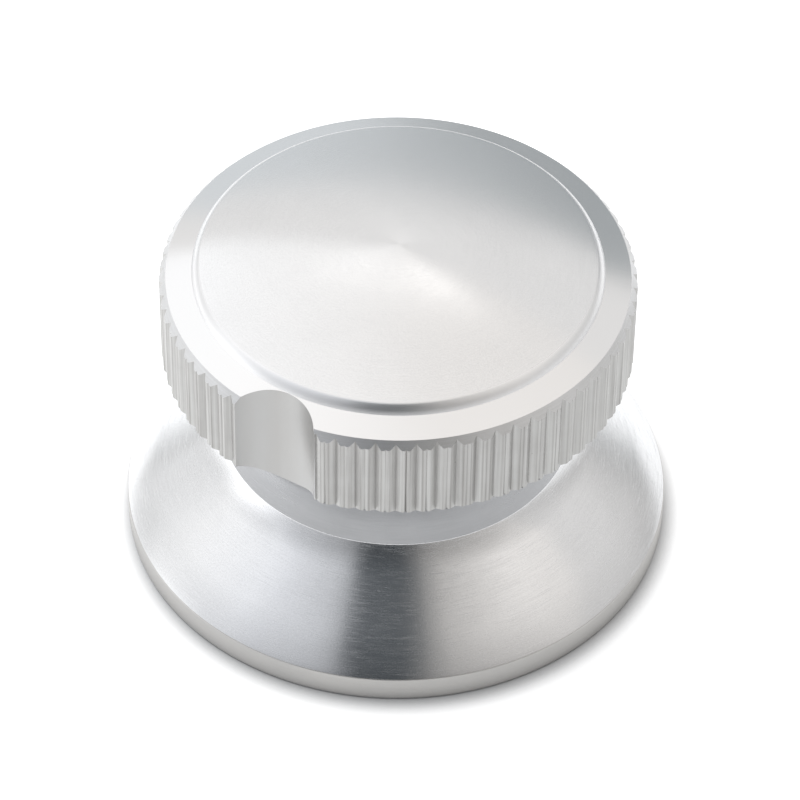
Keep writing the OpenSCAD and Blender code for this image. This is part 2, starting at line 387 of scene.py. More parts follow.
class Outline:
    """Plan of the knurled head: sixteen angles to a groove, and the radius of its wall at each. Every fourth
    angle is a coarse one, which is also counted in columns from the back."""

    def __init__(self, form):
        self.form = form
        self.head_r, self.disc_r = form.head_d / 2, form.disc_d / 2
        self.notch_r = form.notch_d / 2
        self.notch_y = self.disc_r + form.notch_land + self.notch_r
        pitch = 2 * math.pi / form.groove_count
        self.flank = form.groove_w / 2 / (pitch * self.head_r)
        self.seam = form.seam_w / 2 / (pitch * self.head_r)
        f, s = self.flank, self.seam
        half = [0, f / 4, f / 2, f * 3 / 4, f, (f + 0.5 - s) / 2, 0.5 - s, 0.5 - s / 2]
        shares = np.array(half + [0.5] + [1 - x for x in half[:0:-1]])
        self.turns = (np.arange(form.groove_count)[:, None] + shares).ravel()
        self.angles = self.turns * pitch + form.groove_phase - math.pi / 2
        self.cut_notch()
        self.cut_grooves()
        self.coarse, self.ring_r = self.angles[::4], self.head_r - form.chamfer_w
        columns = len(self.coarse)
        self.from_back = np.arange(columns) - np.argmin(np.abs(wrapped(self.coarse - math.pi / 2)))
        self.from_back = (self.from_back + columns // 2) % columns - columns // 2

    def cut_notch(self):
        """Near side of the notch's round cutter, seen from the axis: d cos a less the root of r squared less
        (d sin a) squared. One angle is moved onto each edge, where the cutter's circle meets the head's."""
        d, r = self.notch_y, self.notch_r
        away = wrapped(self.angles + math.pi / 2)
        self.notch_edge = math.acos((d * d + self.head_r**2 - r * r) / (2 * d * self.head_r))
        for side in (-1, 1):
            near = np.argmin(np.abs(away - side * self.notch_edge))
            self.angles[near] += side * self.notch_edge - away[near]
        away = wrapped(self.angles + math.pi / 2)
        inside = np.maximum(r * r - (d * np.sin(away)) ** 2, 0)
        in_notch = np.abs(away) < self.notch_edge - NEAR
        self.notch_wall = np.where(in_notch, d * np.cos(away) - np.sqrt(inside), self.head_r)
        self.on_notch = np.abs(away) < self.notch_edge + NEAR

    def cut_grooves(self):
        """Depth below the crests: a V at each whole turn and a narrow V half way between, each pressed a
        little unevenly, as the knurling wheel leaves them."""
        form, draw = self.form, np.random.default_rng(SEED)
        count = form.groove_count
        groove = draw.uniform(*GROOVE_PRESS, count)
        seam = draw.uniform(*SEAM_PRESS, count)
        lean = draw.uniform(-CREST_LEAN, CREST_LEAN, (2, count))
        nearest = np.floor(self.turns + 0.5).astype(int) % count
        tooth = np.floor(self.turns + NEAR).astype(int) % count
        from_groove = np.abs(self.turns - np.floor(self.turns + 0.5))
        from_seam = np.abs(self.turns - np.floor(self.turns) - 0.5)
        left = (self.turns - np.floor(self.turns + NEAR) > 0.5).astype(int)
        v = form.groove_depth * groove[nearest] * np.clip(1 - from_groove / self.flank, 0, 1)
        seam_v = np.clip(1 - from_seam / self.seam, 0, 1)
        land = (from_groove > self.flank - NEAR) * np.abs(lean[left, tooth]) * MM
        depth = np.maximum(v, form.seam_depth * seam[tooth] * seam_v + land)
        self.wall = np.minimum(self.head_r - depth, self.notch_wall)
        self.nick = NICK_DEPTH * seam_v * draw.uniform(*NICK_PRESS, count)[tooth] * ~self.on_notch
        # Painted shade: dark lines along the seams and the groove edges, and dark dots at the seams' feet
        corner = np.abs(from_groove - self.flank) < NEAR
        marks = draw.uniform(*LINE_SHADE, (2, count))
        darkening = np.maximum((seam_v > SEAM_MIDDLE) * marks[0, tooth], EDGE_SHADE * corner * marks[1, nearest])
        self.darkening = np.where(self.on_notch, 0.0, darkening)
        dots = draw.uniform(*DOT_SHADE, count)[tooth].clip(0, 1)
        self.dots = (seam_v > SEAM_FOOT) * dots * ~self.on_notch


def drilled(angle_grid, z_grid, radius_at, hole_r, hole_z, rows, columns, reach):
    """Makes room for a round hole through the back of a round wall's grid, whose radius is a function of the
    height. The block of the grid within HOLE_KEEP of the hole's middle is pulled onto the hole's circle, and
    what lies between it and the outer edge of the block, at the last row and at reach columns, follows in
    proportion."""
    i, j = np.meshgrid(columns, rows)
    keep_i, keep_j = HOLE_KEEP
    turn = np.arctan2(np.clip(j, -keep_j, keep_j) / keep_j, np.clip(i, -keep_i, keep_i) / keep_i)
    out_i = (np.abs(i) - keep_i) / (reach - keep_i)
    out_j = (np.abs(j) - keep_j) / (HOLE_SPREAD[1] - keep_j)
    out = np.clip(np.maximum(out_i, out_j), 0, 1)
    across = radius_at(z_grid) * np.sin(angle_grid - math.pi / 2)
    across = hole_r * np.cos(turn) * (1 - out) + across * out
    up = (hole_z + hole_r * np.sin(turn)) * (1 - out) + z_grid * out
    angles = math.pi / 2 + np.arcsin(np.clip(across / radius_at(up), -1, 1))
    return np.where(out < 1, angles, angle_grid), up, radius_at(up)


def corner_round(corner, radius, first, last):
    """Middle of a round that touches two straight sides: the corner, less the radius along the sum of the
    sides' outward directions over one plus their product."""
    first, last = np.array(first), np.array(last)
    return np.array(corner) - radius * (first + last) / (1 + first @ last)


def turned_from(first, slopes):
    """Changes of the slopes' sine and cosine from those of the first slope."""
    return np.stack([np.sin(slopes) - math.sin(first), np.cos(slopes) - math.cos(first)], axis=1)


def skirt_lines(form, start, end):
    """The skirt from the rim to the neck's foot, and its slopes at both ends: a crown, a straight cone and a
    hollow flare, each touching the next. A point of a bend is its end plus the radius times the change of the
    slope's sine and cosine. The bends lift the skirt off the straight line between its ends by the radius
    times one less the cosine of the turn, so the cone's slope is that line's less the arc sine of the lift
    over its length."""
    start, end = np.array(start), np.array(end)
    run, rise = start[0] - end[0], end[1] - start[1]
    lift = form.crown_r * (1 - math.cos(form.crown_turn)) + form.flare_r * (1 - math.cos(form.flare_turn))
    cone = math.atan2(rise, run) - math.asin(lift / math.hypot(run, rise))
    rim, neck = cone + form.crown_turn, cone + form.flare_turn
    crown = start + form.crown_r * turned_from(rim, np.linspace(rim, cone, 19))
    flare = end - form.flare_r * turned_from(neck, np.linspace(cone, neck, 17))
    return chain(crown, even(crown[-1], flare[0], 8), flare), rim, neck


def lower_profile(form, hole_z, neck_end):
    """Half section from the drill's point down through the bore and the recess, out over the foot and up the
    rim, the skirt and the neck, as (name, zone, points) stretches of radius and height. The neck's radii are
    set later."""
    bore_r, recess_r, neck_r, skirt_r = form.bore_d / 2, form.recess_d / 2, form.neck_d / 2, form.skirt_d / 2
    skirt, rim_slope, neck_slope = skirt_lines(
        form, (skirt_r - form.rim_round, form.rim_h), (neck_r, form.skirt_h)
    )
    rim_top = (skirt_r, form.rim_h - form.rim_round * math.tan(rim_slope))
    rim_mid = corner_round(rim_top, form.rim_round, (1, 0), (math.sin(rim_slope), math.cos(rim_slope)))
    rim_arc = arc(rim_mid, form.rim_round, 0, math.pi / 2 - rim_slope, 4)
    foot_arc = arc((skirt_r - form.rim_round, form.rim_round), form.rim_round, -math.pi / 2, 0, 4)
    neck_out = (math.sin(neck_slope), math.cos(neck_slope))
    neck_mid = corner_round((neck_r, form.skirt_h), -form.neck_fillet, neck_out, (1, 0))
    neck_arc = arc(neck_mid, form.neck_fillet, 1.5 * math.pi - neck_slope, math.pi, 6)
    skirt = np.vstack([rim_arc[-1:], skirt[1:-1], neck_arc[:1]])
    at = [
        (0, form.bore_end + form.bore_point),
        (bore_r, form.bore_end),
        (bore_r, hole_z + BORE_BLOCK),
        (bore_r, hole_z - BORE_BLOCK),
        (bore_r, form.recess_h + form.bore_break),
        (bore_r + form.bore_break, form.recess_h),
        (recess_r, form.recess_h),
        (recess_r, form.recess_break),
        (recess_r + form.recess_break, 0),
    ]
    return [
        ("point", "bore", crowded(at[0], at[1], 4)),
        ("bore top", "bore", crowded(at[1], at[2], 4)),
        ("bore hole", "bore", even(at[2], at[3], 2 * HOLE_SPREAD[1])),
        ("bore foot", "bore", even(at[3], at[4], 1)),
        ("bore edge", "bore", even(at[4], at[5], 1)),
        ("roof", "bore", crowded(at[5], at[6], 6)),
        ("recess", "bore", crowded(at[6], at[7], 5)),
        ("recess edge", "bore", even(at[7], at[8], 1)),
        ("foot", "rim", crowded(at[8], foot_arc[0], 5)),
        ("foot round", "rim", foot_arc),
        ("rim", "rim", crowded(foot_arc[-1], rim_arc[0], 6)),
        ("rim round", "rim", rim_arc),
        ("skirt", "skirt", skirt),
        ("fillet", "skirt", neck_arc),
        ("neck hole", "neck", even(neck_arc[-1], (neck_r, hole_z), HOLE_SPREAD[1])),
        ("cove hole", "neck", even((neck_r, hole_z), (neck_r, neck_end), HOLE_SPREAD[1])),
    ]


def upper_profile(form, top_z, disc_z):
    """Half section of the raised disc, from the foot of its step to the top: a wide round that starts at the
    foot with a lean, a narrow round that touches it, and the dome's sphere, which the narrow round touches
    from inside. The distance between the middles of two such rounds is the difference of their radii, which
    gives the wide radius."""
    disc_r, edge = form.disc_d / 2, form.disc_round
    dome_h = top_z - disc_z - form.step_h
    sphere_r = (disc_r**2 + dome_h**2) / (2 * dome_h)
    sphere, foot = np.array([0, top_z - sphere_r]), np.array([disc_r, disc_z])
    low, high = [np.array([math.cos(lean), math.sin(lean)]) for lean in (form.step_lean, form.disc_turn)]
    start, way = foot - edge * high - sphere, high - low
    half, rest = start @ way, start @ start - (sphere_r - edge) ** 2
    wide = (math.sqrt(half**2 - (way @ way) * rest) - half) / (way @ way)
    middle = foot - wide * low + (wide - edge) * high
    tilt = math.atan2(middle[1] - sphere[1], middle[0])
    return [
        ("step", "edge", arc(foot - wide * low, wide, form.step_lean, form.disc_turn, 8)),
        ("edge", "edge", arc(middle, edge, form.disc_turn, tilt, 6)),
        ("dome", "dome", arc(sphere, sphere_r, tilt, math.pi / 2, 48)),
    ]


def joined(stretches):
    """The stretches as one line of points, the zone of each strip of it, and each stretch's first row."""
    line = chain(*[points for _, _, points in stretches])
    zones = np.concatenate([np.full(len(points) - 1, ZONES.index(zone)) for _, zone, points in stretches])
    starts = np.cumsum([0] + [len(points) - 1 for _, _, points in stretches[:-1]])
    return line, zones, {name: start for (name, _, _), start in zip(stretches, starts)}


def around(radius, angles, heights):
    """Points on circles about the axis: radius times cosine and sine of the angle, and the height."""
    radius, angles, heights = np.broadcast_arrays(radius, angles, heights)
    return np.stack([radius * np.cos(angles), radius * np.sin(angles), heights], axis=-1)


def stem_grid(form, plan, cove, hole_r, hole_z):
    """Grid of the bore, recess, skirt and neck below the drill's point: their half section, turned to each
    coarse angle, with room for the screw's hole in the back. Gives its points, the zones of its strips, from
    the pole's on, and for both walls with the hole the row of the hole's middle and the way up."""
    line, zones, starts = joined(lower_profile(form, hole_z, cove.height(plan.disc_r)))
    line = line[1:]
    angles = np.tile(plan.coarse, (len(line), 1))
    radii, heights = [np.repeat(line[:, [k]], len(plan.coarse), axis=1) for k in (0, 1)]
    rows = np.arange(-HOLE_SPREAD[1], HOLE_SPREAD[1] + 1)
    holes = {}
    for name, radius_at, upwards, reach in (
        ("bore hole", lambda z: np.full_like(z, form.bore_d / 2), -1, BORE_REACH),
        ("neck hole", cove.radius, 1, HOLE_SPREAD[0]),
    ):
        block = slice(starts[name] - 1, starts[name] - 1 + len(rows))
        angles[block], heights[block], radii[block] = drilled(
            angles[block], heights[block], radius_at, hole_r, hole_z, upwards * rows, plan.from_back, reach
        )
        holes[name] = (block.start + HOLE_SPREAD[1], upwards)
    return around(radii, angles, heights), zones, holes


def head_grid(form, plan, cove, ring_z):
    """Grid of the cove's outer part, the knurled wall, the notch and the chamfer. Rows of the cove are equal
    shares of the way out to the wall, whose lower edge is broken and nicked. The wall ends on the chamfer's
    cone or, in the notch, on the ring, and the last row is the chamfer's upper edge."""
    wall, ring_r = plan.wall, plan.ring_r
    cone_top = ring_z - (wall - ring_r) * form.chamfer_h / form.chamfer_w
    ring_top = ring_z + (ring_r - wall) / (ring_r - plan.disc_r) * form.ring_rise
    top = np.where(wall > ring_r, cone_top, ring_top)
    edge_break = np.where(plan.on_notch, 0.0, EDGE_BREAK)
    nicked = wall - plan.nick
    start = plan.disc_r + COVE_GAP
    cove_r = start + (nicked - edge_break - start) * np.linspace(0, 1, COVE_ROWS + 1)[:, None]
    lows = cove.height(nicked - edge_break)
    foot = lows + NICK_H
    between = [foot + (top - foot) * share_up for share_up in WALL_SHARES]
    wall_r = np.stack([nicked, wall, *[wall] * len(between), wall, np.minimum(wall, ring_r)])
    wall_z = np.stack([lows + np.maximum(edge_break, LEAST_BREAK), foot, *between, top,
                       np.where(wall > ring_r, ring_z, top)])
    return around(np.vstack([cove_r, wall_r]), plan.angles, np.vstack([cove.height(cove_r), wall_z]))


def numbered(grid, first):
    """Vertex numbers of a grid of points, counted row by row from the first number."""
    return np.arange(grid.size // 3).reshape(grid.shape[:2]) + first


def stem_faces(ids, zones, holes, from_back):
    """Face groups of the stem's grid, without the faces inside the screw's hole."""
    keep_i, keep_j = HOLE_KEEP
    open_columns = (from_back >= -keep_i) & (from_back < keep_i)
    groups = []
    for row, zone in enumerate(zones.tolist()):
        faces = quads(ids[row : row + 2])
        if any(middle - keep_j <= row < middle + keep_j for middle, _ in holes.values()):
            faces = faces[~open_columns]
        groups.append((zone, faces))
    return groups


def head_faces(ids, plan):
    """Face groups of the head's grid, from the cove to the chamfer."""
    zone = ZONES.index
    cut = plan.on_notch & np.roll(plan.on_notch, -1)
    groups = [(zone("neck"), quads(ids[: COVE_ROWS + 1]))]
    for row in range(COVE_ROWS, len(ids) - 2):
        faces = quads(ids[row : row + 2])
        groups += [(zone("knurl"), faces[~cut]), (zone("notch"), faces[cut])]
    return groups + [(zone("chamfer"), faces) for faces in tapered(ids[-2], ids[-1])]


def body_mesh(form):
    """Points, face groups and painted shade of the whole body, a closed surface: its half section turned
    about the axis, with the knurl's plan for the head's wall and a round threaded hole through the back of
    the neck."""
    plan, cove, zone = Outline(form), Cove(form), ZONES.index
    ring_z = form.skirt_h + form.neck_h + form.band_h + form.chamfer_h
    hole_z, hole_r = form.skirt_h + form.neck_h / 2, form.screw_hole_d / 2

    # Grids of the stem, the head and the raised disc, whose two poles are left out
    low, low_zones, holes = stem_grid(form, plan, cove, hole_r, hole_z)
    side = head_grid(form, plan, cove, ring_z)
    up_line, up_zones, _ = joined(upper_profile(form, BODY_HIGH.z, ring_z + form.ring_rise))
    up = around(up_line[:-1, :1], plan.coarse, up_line[:-1, 1:])
    low_ids = numbered(low, 0)
    side_ids = numbered(side, low_ids.size)
    up_ids = numbered(up, low_ids.size + side_ids.size)
    side_ids[-1] = np.where(plan.wall > plan.ring_r, side_ids[-1], side_ids[-2])

    # Wall of the screw's hole, from the neck in to the bore
    flat_low = low.reshape(-1, 3)
    outer, inner = [hole_loop(low_ids, plan.from_back, *holes[name]) for name in ("neck hole", "bore hole")]
    tube = hole_wall(flat_low[outer], flat_low[inner], hole_r, hole_z)
    tube_ids = np.vstack([outer, numbered(tube, up_ids[-1, -1] + 1), inner])

    poles = np.array([[0, 0, form.bore_end + form.bore_point], [0, 0, BODY_HIGH.z]])
    points = np.vstack([flat_low, *[grid.reshape(-1, 3) for grid in (side, up, tube)], poles])
    groups = [
        (int(low_zones[0]), fan(len(points) - 2, low_ids[0], True)),
        *stem_faces(low_ids, low_zones[1:], holes, plan.from_back),
        (zone("neck"), bridge(low_ids[-1], side_ids[0], False)),
        *head_faces(side_ids, plan),
        (zone("ring"), bridge(up_ids[0], side_ids[-1], True)),
        *[(index, quads(up_ids[row : row + 2])) for row, index in enumerate(up_zones[:-1].tolist())],
        (int(up_zones[-1]), fan(len(points) - 1, up_ids[-1], False)),
        (zone("bore"), quads(tube_ids)),
    ]
    # Painted shade in the knurl's lines, and painted dark dots at its seams' feet
    darkening = np.zeros(len(points))
    darkening[side_ids[COVE_ROWS:-1]] = plan.darkening
    darkening[side_ids[COVE_ROWS : COVE_ROWS + 2]] = np.maximum(plan.darkening, plan.dots)
    return points, groups, darkening


def bridge(coarse, fine, inwards):
    """Faces between a coarse ring and one of four times its points, which is first if they run inwards."""
    spans = fine.reshape(len(coarse), -1)
    spans = np.concatenate([spans, np.roll(spans[:, :1], -1, axis=0)], axis=1)
    ahead = np.roll(coarse, -1)
    if inwards:
        return np.column_stack([spans, ahead, coarse])
    return np.column_stack([coarse, ahead, spans[:, ::-1]])


def tapered(first, last):
    """Faces of a strip between two rings that share some points: quads, and triangles where it runs out."""
    a, b, c, d = first, np.roll(first, -1), np.roll(last, -1), last
    open_here, open_ahead = d != a, c != b
    whole, opens, closes = open_here & open_ahead, ~open_here & open_ahead, open_here & ~open_ahead
    return [
        np.column_stack([a, b, c, d])[whole],
        np.column_stack([a, b, c])[opens],
        np.column_stack([a, b, d])[closes],
    ]


def hole_loop(ids, from_back, middle, upwards):
    """Vertex numbers round the hole's edge, starting at one corner of its block and going round it once."""
    i, j = HOLE_KEEP
    run_i, run_j = np.arange(-i, i), np.arange(-j, j)
    across = np.concatenate([run_i, np.full(2 * j, i), -run_i, np.full(2 * j, -i)])
    along = np.concatenate([np.full(2 * i, -j), run_j, np.full(2 * i, j), -run_j])
    columns = np.argsort(from_back)[np.searchsorted(np.sort(from_back), across)]
    return ids[middle + upwards * along, columns]


def hole_wall(outer, inner, hole_r, hole_z):
    """Rows of the hole's threaded wall: straight lines from the neck's edge to the bore's, moved away from
    the hole's axis by the thread, whose height is a triangle wave of the depth in pitches plus the turn round
    the hole."""
    t = np.linspace(0, 1, HOLE_ROWS + 1)[1:-1, None, None]
    points = outer + t * (inner - outer)
    turn = np.arctan2(points[..., 2] - hole_z, points[..., 0])
    wave = np.abs((points[..., 1] / HOLE_PITCH + turn / (2 * math.pi)) % 1 - 0.5) * 2
    fade = np.clip((np.minimum(t, 1 - t)[..., 0] - HOLE_PLAIN) / HOLE_FADE, 0, 1)
    grow = 1 + HOLE_DEPTH * wave * fade / hole_r
    points[..., 0] *= grow
    points[..., 2] = hole_z + (points[..., 2] - hole_z) * grow
    return points


def screw_mesh(form, low, high):
    """Points and faces of the set screw, a closed surface about its own axis. From the point: a hollow cone,
    an end face, the thread, whose depth is a triangle wave of the length in pitches less the turn, held
    inside a chamfer at both ends, the outer face, and a socket whose radius is half the key over the cosine
    of the turn from a flat."""
    radius, long = (high.x - low.x) / 2, high.y - low.y
    turns = np.arange(SCREW_COLUMNS) / SCREW_COLUMNS
    flat = (turns * 6 + 0.5) % 1 - 0.5
    socket = form.key_af / 2 / np.cos(flat * math.pi / 3)
    end_r, cup_r = radius - form.end_break, form.cup_d / 2
    s = np.linspace(0, long, SCREW_ROWS + 1)[:, None]
    wave = 1 - np.abs((s / form.thread_pitch - turns) % 1 - 0.5) * 2
    thread = radius - form.thread_depth * np.clip((wave - THREAD_FLAT) / (1 - 2 * THREAD_FLAT), 0, 1)
    hull = np.minimum(radius, end_r + np.minimum(s, long - s))
    ring = np.ones_like(turns)
    rows = [
        (cup_r / 2 * ring, CUP_SLOPE * cup_r / 2 * ring),
        (cup_r * ring, 0 * ring),
        *zip(np.minimum(thread, hull), np.broadcast_to(s, thread.shape)),
        (socket * MOUTH_W, long * ring),
        (socket, (long - MOUTH_H) * ring),
        (socket, (long - FULL_WALL * form.key_depth) * ring),
        (socket * END_W, (long - form.key_depth) * ring),
        (socket * POINT_W, (long - form.key_depth - POINT_H[0]) * ring),
    ]
    r, along = np.array([row[0] for row in rows]), np.array([row[1] for row in rows])
    middle = np.array([(low.x + high.x) / 2, low.y, (low.z + high.z) / 2])
    turn = turns * 2 * math.pi
    grid = np.stack([r * np.sin(turn), along, r * np.cos(turn)], axis=-1) + middle
    ids = numbered(grid, 0)
    poles = middle + np.array([[0, CUP_SLOPE * cup_r, 0], [0, long - form.key_depth - POINT_H[1], 0]])
    points = np.vstack([grid.reshape(-1, 3), poles])
    faces = [(0, fan(ids.size, ids[0], True)), (0, quads(ids)), (0, fan(ids.size + 1, ids[-1], False))]
    return points, faces


class Tree:
    """A node tree in the making, with a short call for each kind of node that the looks need."""

    def __init__(self, owner):
        owner.use_nodes = True
        self.tree = owner.node_tree

    def fill(self, node, sockets):
        """Fills a node's sockets with values, with colours or with other nodes' outputs."""
        for key, value in sockets.items():
            socket = node.inputs[key]
            if isinstance(value, bpy.types.NodeSocket):
                self.tree.links.new(value, socket)
            else:
                socket.default_value = (*value, 1.0) if socket.type == "RGBA" else value

    def put(self, kind, sockets=None, **settings):
        """A new node with its settings and its filled sockets."""
        node = self.tree.nodes.new("ShaderNode" + kind)
        for key, value in settings.items():
            setattr(node, key, value)
        self.fill(node, sockets or {})
        return node

    def shade(self, shader, sockets):
        """Fills the sockets of the tree's own shader, which goes by its name."""
        self.fill(self.tree.nodes[shader], sockets)

    def maths(self, operation, *values):
        """Output of one Math node."""
        return self.put("Math", dict(enumerate(values)), operation=operation).outputs[0]

    def plus(self, *values):
        """Sum of the values."""
        return reduce(lambda first, second: self.maths("ADD", first, second), values)

    def times(self, *values):
        """Product of the values."""
        return reduce(lambda first, second: self.maths("MULTIPLY", first, second), values)

    def times_plus(self, value, factor, rest):
        """A value times a factor, plus the rest."""
        return self.maths("MULTIPLY_ADD", value, factor, rest)

    def left_of_one(self, value):
        """What a value leaves of 1."""
        return self.maths("SUBTRACT", 1.0, value)

    def vector(self, operation, *values):
        """Main output of one Vector Math node."""
        node = self.put("VectorMath", dict(enumerate(values)), operation=operation)
        return node.outputs["Value" if operation in ("LENGTH", "DOT_PRODUCT") else "Vector"]

    def ranged(self, value, low, high, to_low=0.0, to_high=1.0, smooth=False):
        """A value's way from low to high, as a way from to_low to to_high, where it stays outside them."""
        sockets = {"Value": value, "From Min": low, "From Max": high, "To Min": to_low, "To Max": to_high}
        way = "SMOOTHSTEP" if smooth else "LINEAR"
        return self.put("MapRange", sockets, interpolation_type=way).outputs["Result"]

    def band(self, value, up_from, up_to, down_from, down_to):
        """1 inside a band of values, with a straight way up to it and down from it."""
        up, down = self.ranged(value, up_from, up_to), self.ranged(value, down_from, down_to, 1.0, 0.0)
        return self.times(up, down)

    def noise(self, coordinates, scale, detail=2.0, rough=0.5):
        """Value of one Noise Texture."""
        sockets = {"Vector": coordinates, "Scale": scale, "Detail": detail, "Roughness": rough}
        return self.put("TexNoise", sockets).outputs["Fac"]

    def mixed(self, amount, first, second):
        """Colour between two others, by the amount of the second."""
        return self.put("Mix", {"Factor": amount, 6: first, 7: second}, data_type="RGBA").outputs[2]

    def bump(self, height, depth, strength=1.0):
        """Normal of a surface with this relief."""
        return self.put("Bump", {"Strength": strength, "Distance": depth, "Height": height}).outputs[0]


def metal(name):
    """A new material of bare metal, its tree and its Object coordinates."""
    material = bpy.data.materials.new(name)
    tree = Tree(material)
    tree.shade(SHADER, {"Metallic": 1.0})
    return material, tree, tree.put("TexCoord").outputs["Object"]


def turned_metal(name, finish, tones, roughness, pitch, depth, specks=0.0, grain=None, duller_radii=None, sparkle=1.0,
                 rising=False, lines_show=0.45, patch_show=0.55, marks=0.0):
    """Metal left by a lathe: tool lines run round the axis, and they break up into arcs. A line's place is
    its radius less its height, so the lines follow flats, cones and walls alike, or plus its height where the
    surface rises outwards. Tones are the clean and the dull colour, specks says how common dark specks are,
    duller_radii gives two radii between which the metal turns duller outwards, sparkle is the share of fine
    grain, lines_show and patch_show are the shares of lines and patches in its unevenness, and marks is what
    a short scratch adds to the roughness."""
    material, tree, place = metal(name)
    flat = tree.vector("MULTIPLY", place, (1, 1, 0))
    height = tree.put("SeparateXYZ", {0: place}).outputs["Z"]
    radius, outwards = tree.vector("LENGTH", flat), tree.vector("NORMALIZE", flat)
    across = tree.maths("ADD" if rising else "SUBTRACT", radius, height)
    fine = tree.noise(place, GRAIN_SCALE, 1.0)
    patch = tree.noise(place, PATCH_SCALE, 3.0, 0.55)

    # Relief of lines, scratches and fine grain
    lines = tool_lines(tree, outwards, across, LINE_ARCS, pitch)
    cuts = tool_lines(tree, outwards, across, SCRATCH_ARCS, SCRATCH_PITCH * pitch)
    cut_lines = tree.times_plus(tree.ranged(cuts, *SCRATCH_EDGE), -SCRATCH_DEPTH, lines)
    relief = tree.times_plus(fine, sparkle, cut_lines)

    # Roughness, uneven by lines and patches
    plain = tree.times_plus(patch, patch_show, (1 - lines_show - patch_show) / 2)
    uneven = tree.times_plus(lines, lines_show, plain)
    rough = tree.ranged(uneven, *UNEVEN_SPAN, roughness - ROUGH_SWING, roughness + ROUGH_SWING)
    if marks:
        short = tool_lines(tree, outwards, across, MARK_ARCS, pitch)
        rough = tree.plus(rough, tree.ranged(short, *MARK_EDGE, 0.0, marks))

    # Colour, duller where it is uneven and, on some pieces, further out, and dark in specks
    dull = tree.ranged(uneven, *DULL_SPAN, 0.0, DULLEST)
    if duller_radii:
        ragged = tree.times_plus(patch, DULL_RAGGED, radius)
        dull = tree.maths("MAXIMUM", dull, tree.ranged(ragged, *duller_radii))
    swing = GRAIN_TONE * sparkle
    tone = tree.mixed(tree.plus(dull, tree.ranged(fine, *GRAIN_SPAN, -swing, swing)), *tones)
    if specks:
        pits = tree.noise(place, SPECK_SCALE, 2.0, 0.6)
        low, high = [value - specks for value in SPECK_EDGE]
        tone = tree.mixed(tree.ranged(pits, low, high, 0.0, DARKEST), tone, finish.speck)
    tree.shade(SHADER, {
        "Base Color": tone,
        "Roughness": rough,
        "Normal": tree.bump(relief, depth),
        "Anisotropic": finish.grain if grain is None else grain,
        "Anisotropic Rotation": QUARTER_TURN,
        "Tangent": tree.vector("CROSS_PRODUCT", (0, 0, 1), outwards),
    })
    return material


def tool_lines(tree, outwards, across, arcs, pitch):
    """Noise that runs in arcs round the axis: it changes slowly with the direction from the axis and once a
    pitch across the lines."""
    deep = tree.put("CombineXYZ", {"Z": tree.maths("DIVIDE", across, pitch)}).outputs[0]
    place = tree.vector("ADD", tree.vector("MULTIPLY", outwards, (arcs, arcs, arcs)), deep)
    return tree.noise(place, 1.0, 2.0, 0.6)


def upright_metal(name, finish, tones, roughness, streak, depth):
    """Rolled or milled metal: streaks stand upright, because the noise hardly changes with height, painted
    shade lies in the lines that the mesh marks, and dirt lies in a few pits. Streak is the width of a streak."""
    material, tree, place = metal(name)
    tall = tree.vector("MULTIPLY", place, (1, 1, UPRIGHT_SHARE))
    streaks = tree.noise(tall, 1 / streak, 2.0, 0.6)
    patch = tree.noise(place, ROLLED_PATCH_SCALE, 3.0, 0.6)
    relief = tree.times_plus(tree.noise(place, ROLLED_GRAIN_SCALE, 1.0), ROLLED_GRAIN, streaks)
    uneven = tree.times_plus(streaks, STREAK_SHARE, tree.times(patch, 1 - STREAK_SHARE))
    tone = tree.mixed(tree.ranged(uneven, *STREAK_SPAN), *tones)
    # Painted shade from the mesh's lines, broken up by noise, plus real pits
    lines = tree.put("Attribute", attribute_name=CREASE_SHADE).outputs["Fac"]
    broken = tree.times(lines, tree.ranged(tree.noise(tall, SHADE_BREAK_SCALE), *BROKEN_SPAN, LEAST_SHADE, 1.0))
    pits = tree.ranged(tree.noise(place, PIT_SCALE, 1.0), *PIT_EDGE, 0.0, DARKEST)
    darkening = tree.maths("MINIMUM", tree.plus(broken, pits), 1.0)
    tree.shade(SHADER, {
        "Base Color": tree.mixed(darkening, tone, finish.speck),
        "Roughness": tree.ranged(uneven, *UNEVEN_SPAN, *[roughness + swing for swing in ROLLED_SWING]),
        "Normal": tree.bump(relief, depth),
    })
    return material


def blackened_steel(finish):
    """Black oxide on steel: darker and lighter blotches, fine grain, and bare metal in worn spots."""
    material, tree, place = metal("blackened steel")
    blotch = tree.noise(place, BLOTCH_SCALE, 4.0, 0.6)
    fine = tree.noise(place, OXIDE_GRAIN_SCALE, 1.0)
    tree.shade(SHADER, {
        "Base Color": tree.mixed(tree.ranged(blotch, *BARE_SPAN), finish.steel, finish.worn_steel),
        "Roughness": tree.ranged(blotch, *UNEVEN_SPAN, *OXIDE_ROUGHNESS),
        "Normal": tree.bump(fine, OXIDE_DEPTH, strength=0.6),
    })
    return material


def eye_rays(tree):
    """1 for rays that a viewer sees directly, in a reflection or through glass, and 0 for the rest."""
    path = tree.put("LightPath").outputs
    seen = tree.plus(path["Is Camera Ray"], path["Is Glossy Ray"], path["Is Transmission Ray"])
    return tree.maths("MINIMUM", seen, 1.0)


def flat_way(turn):
    """Level direction at an angle from the x axis."""
    return math.cos(turn), math.sin(turn)


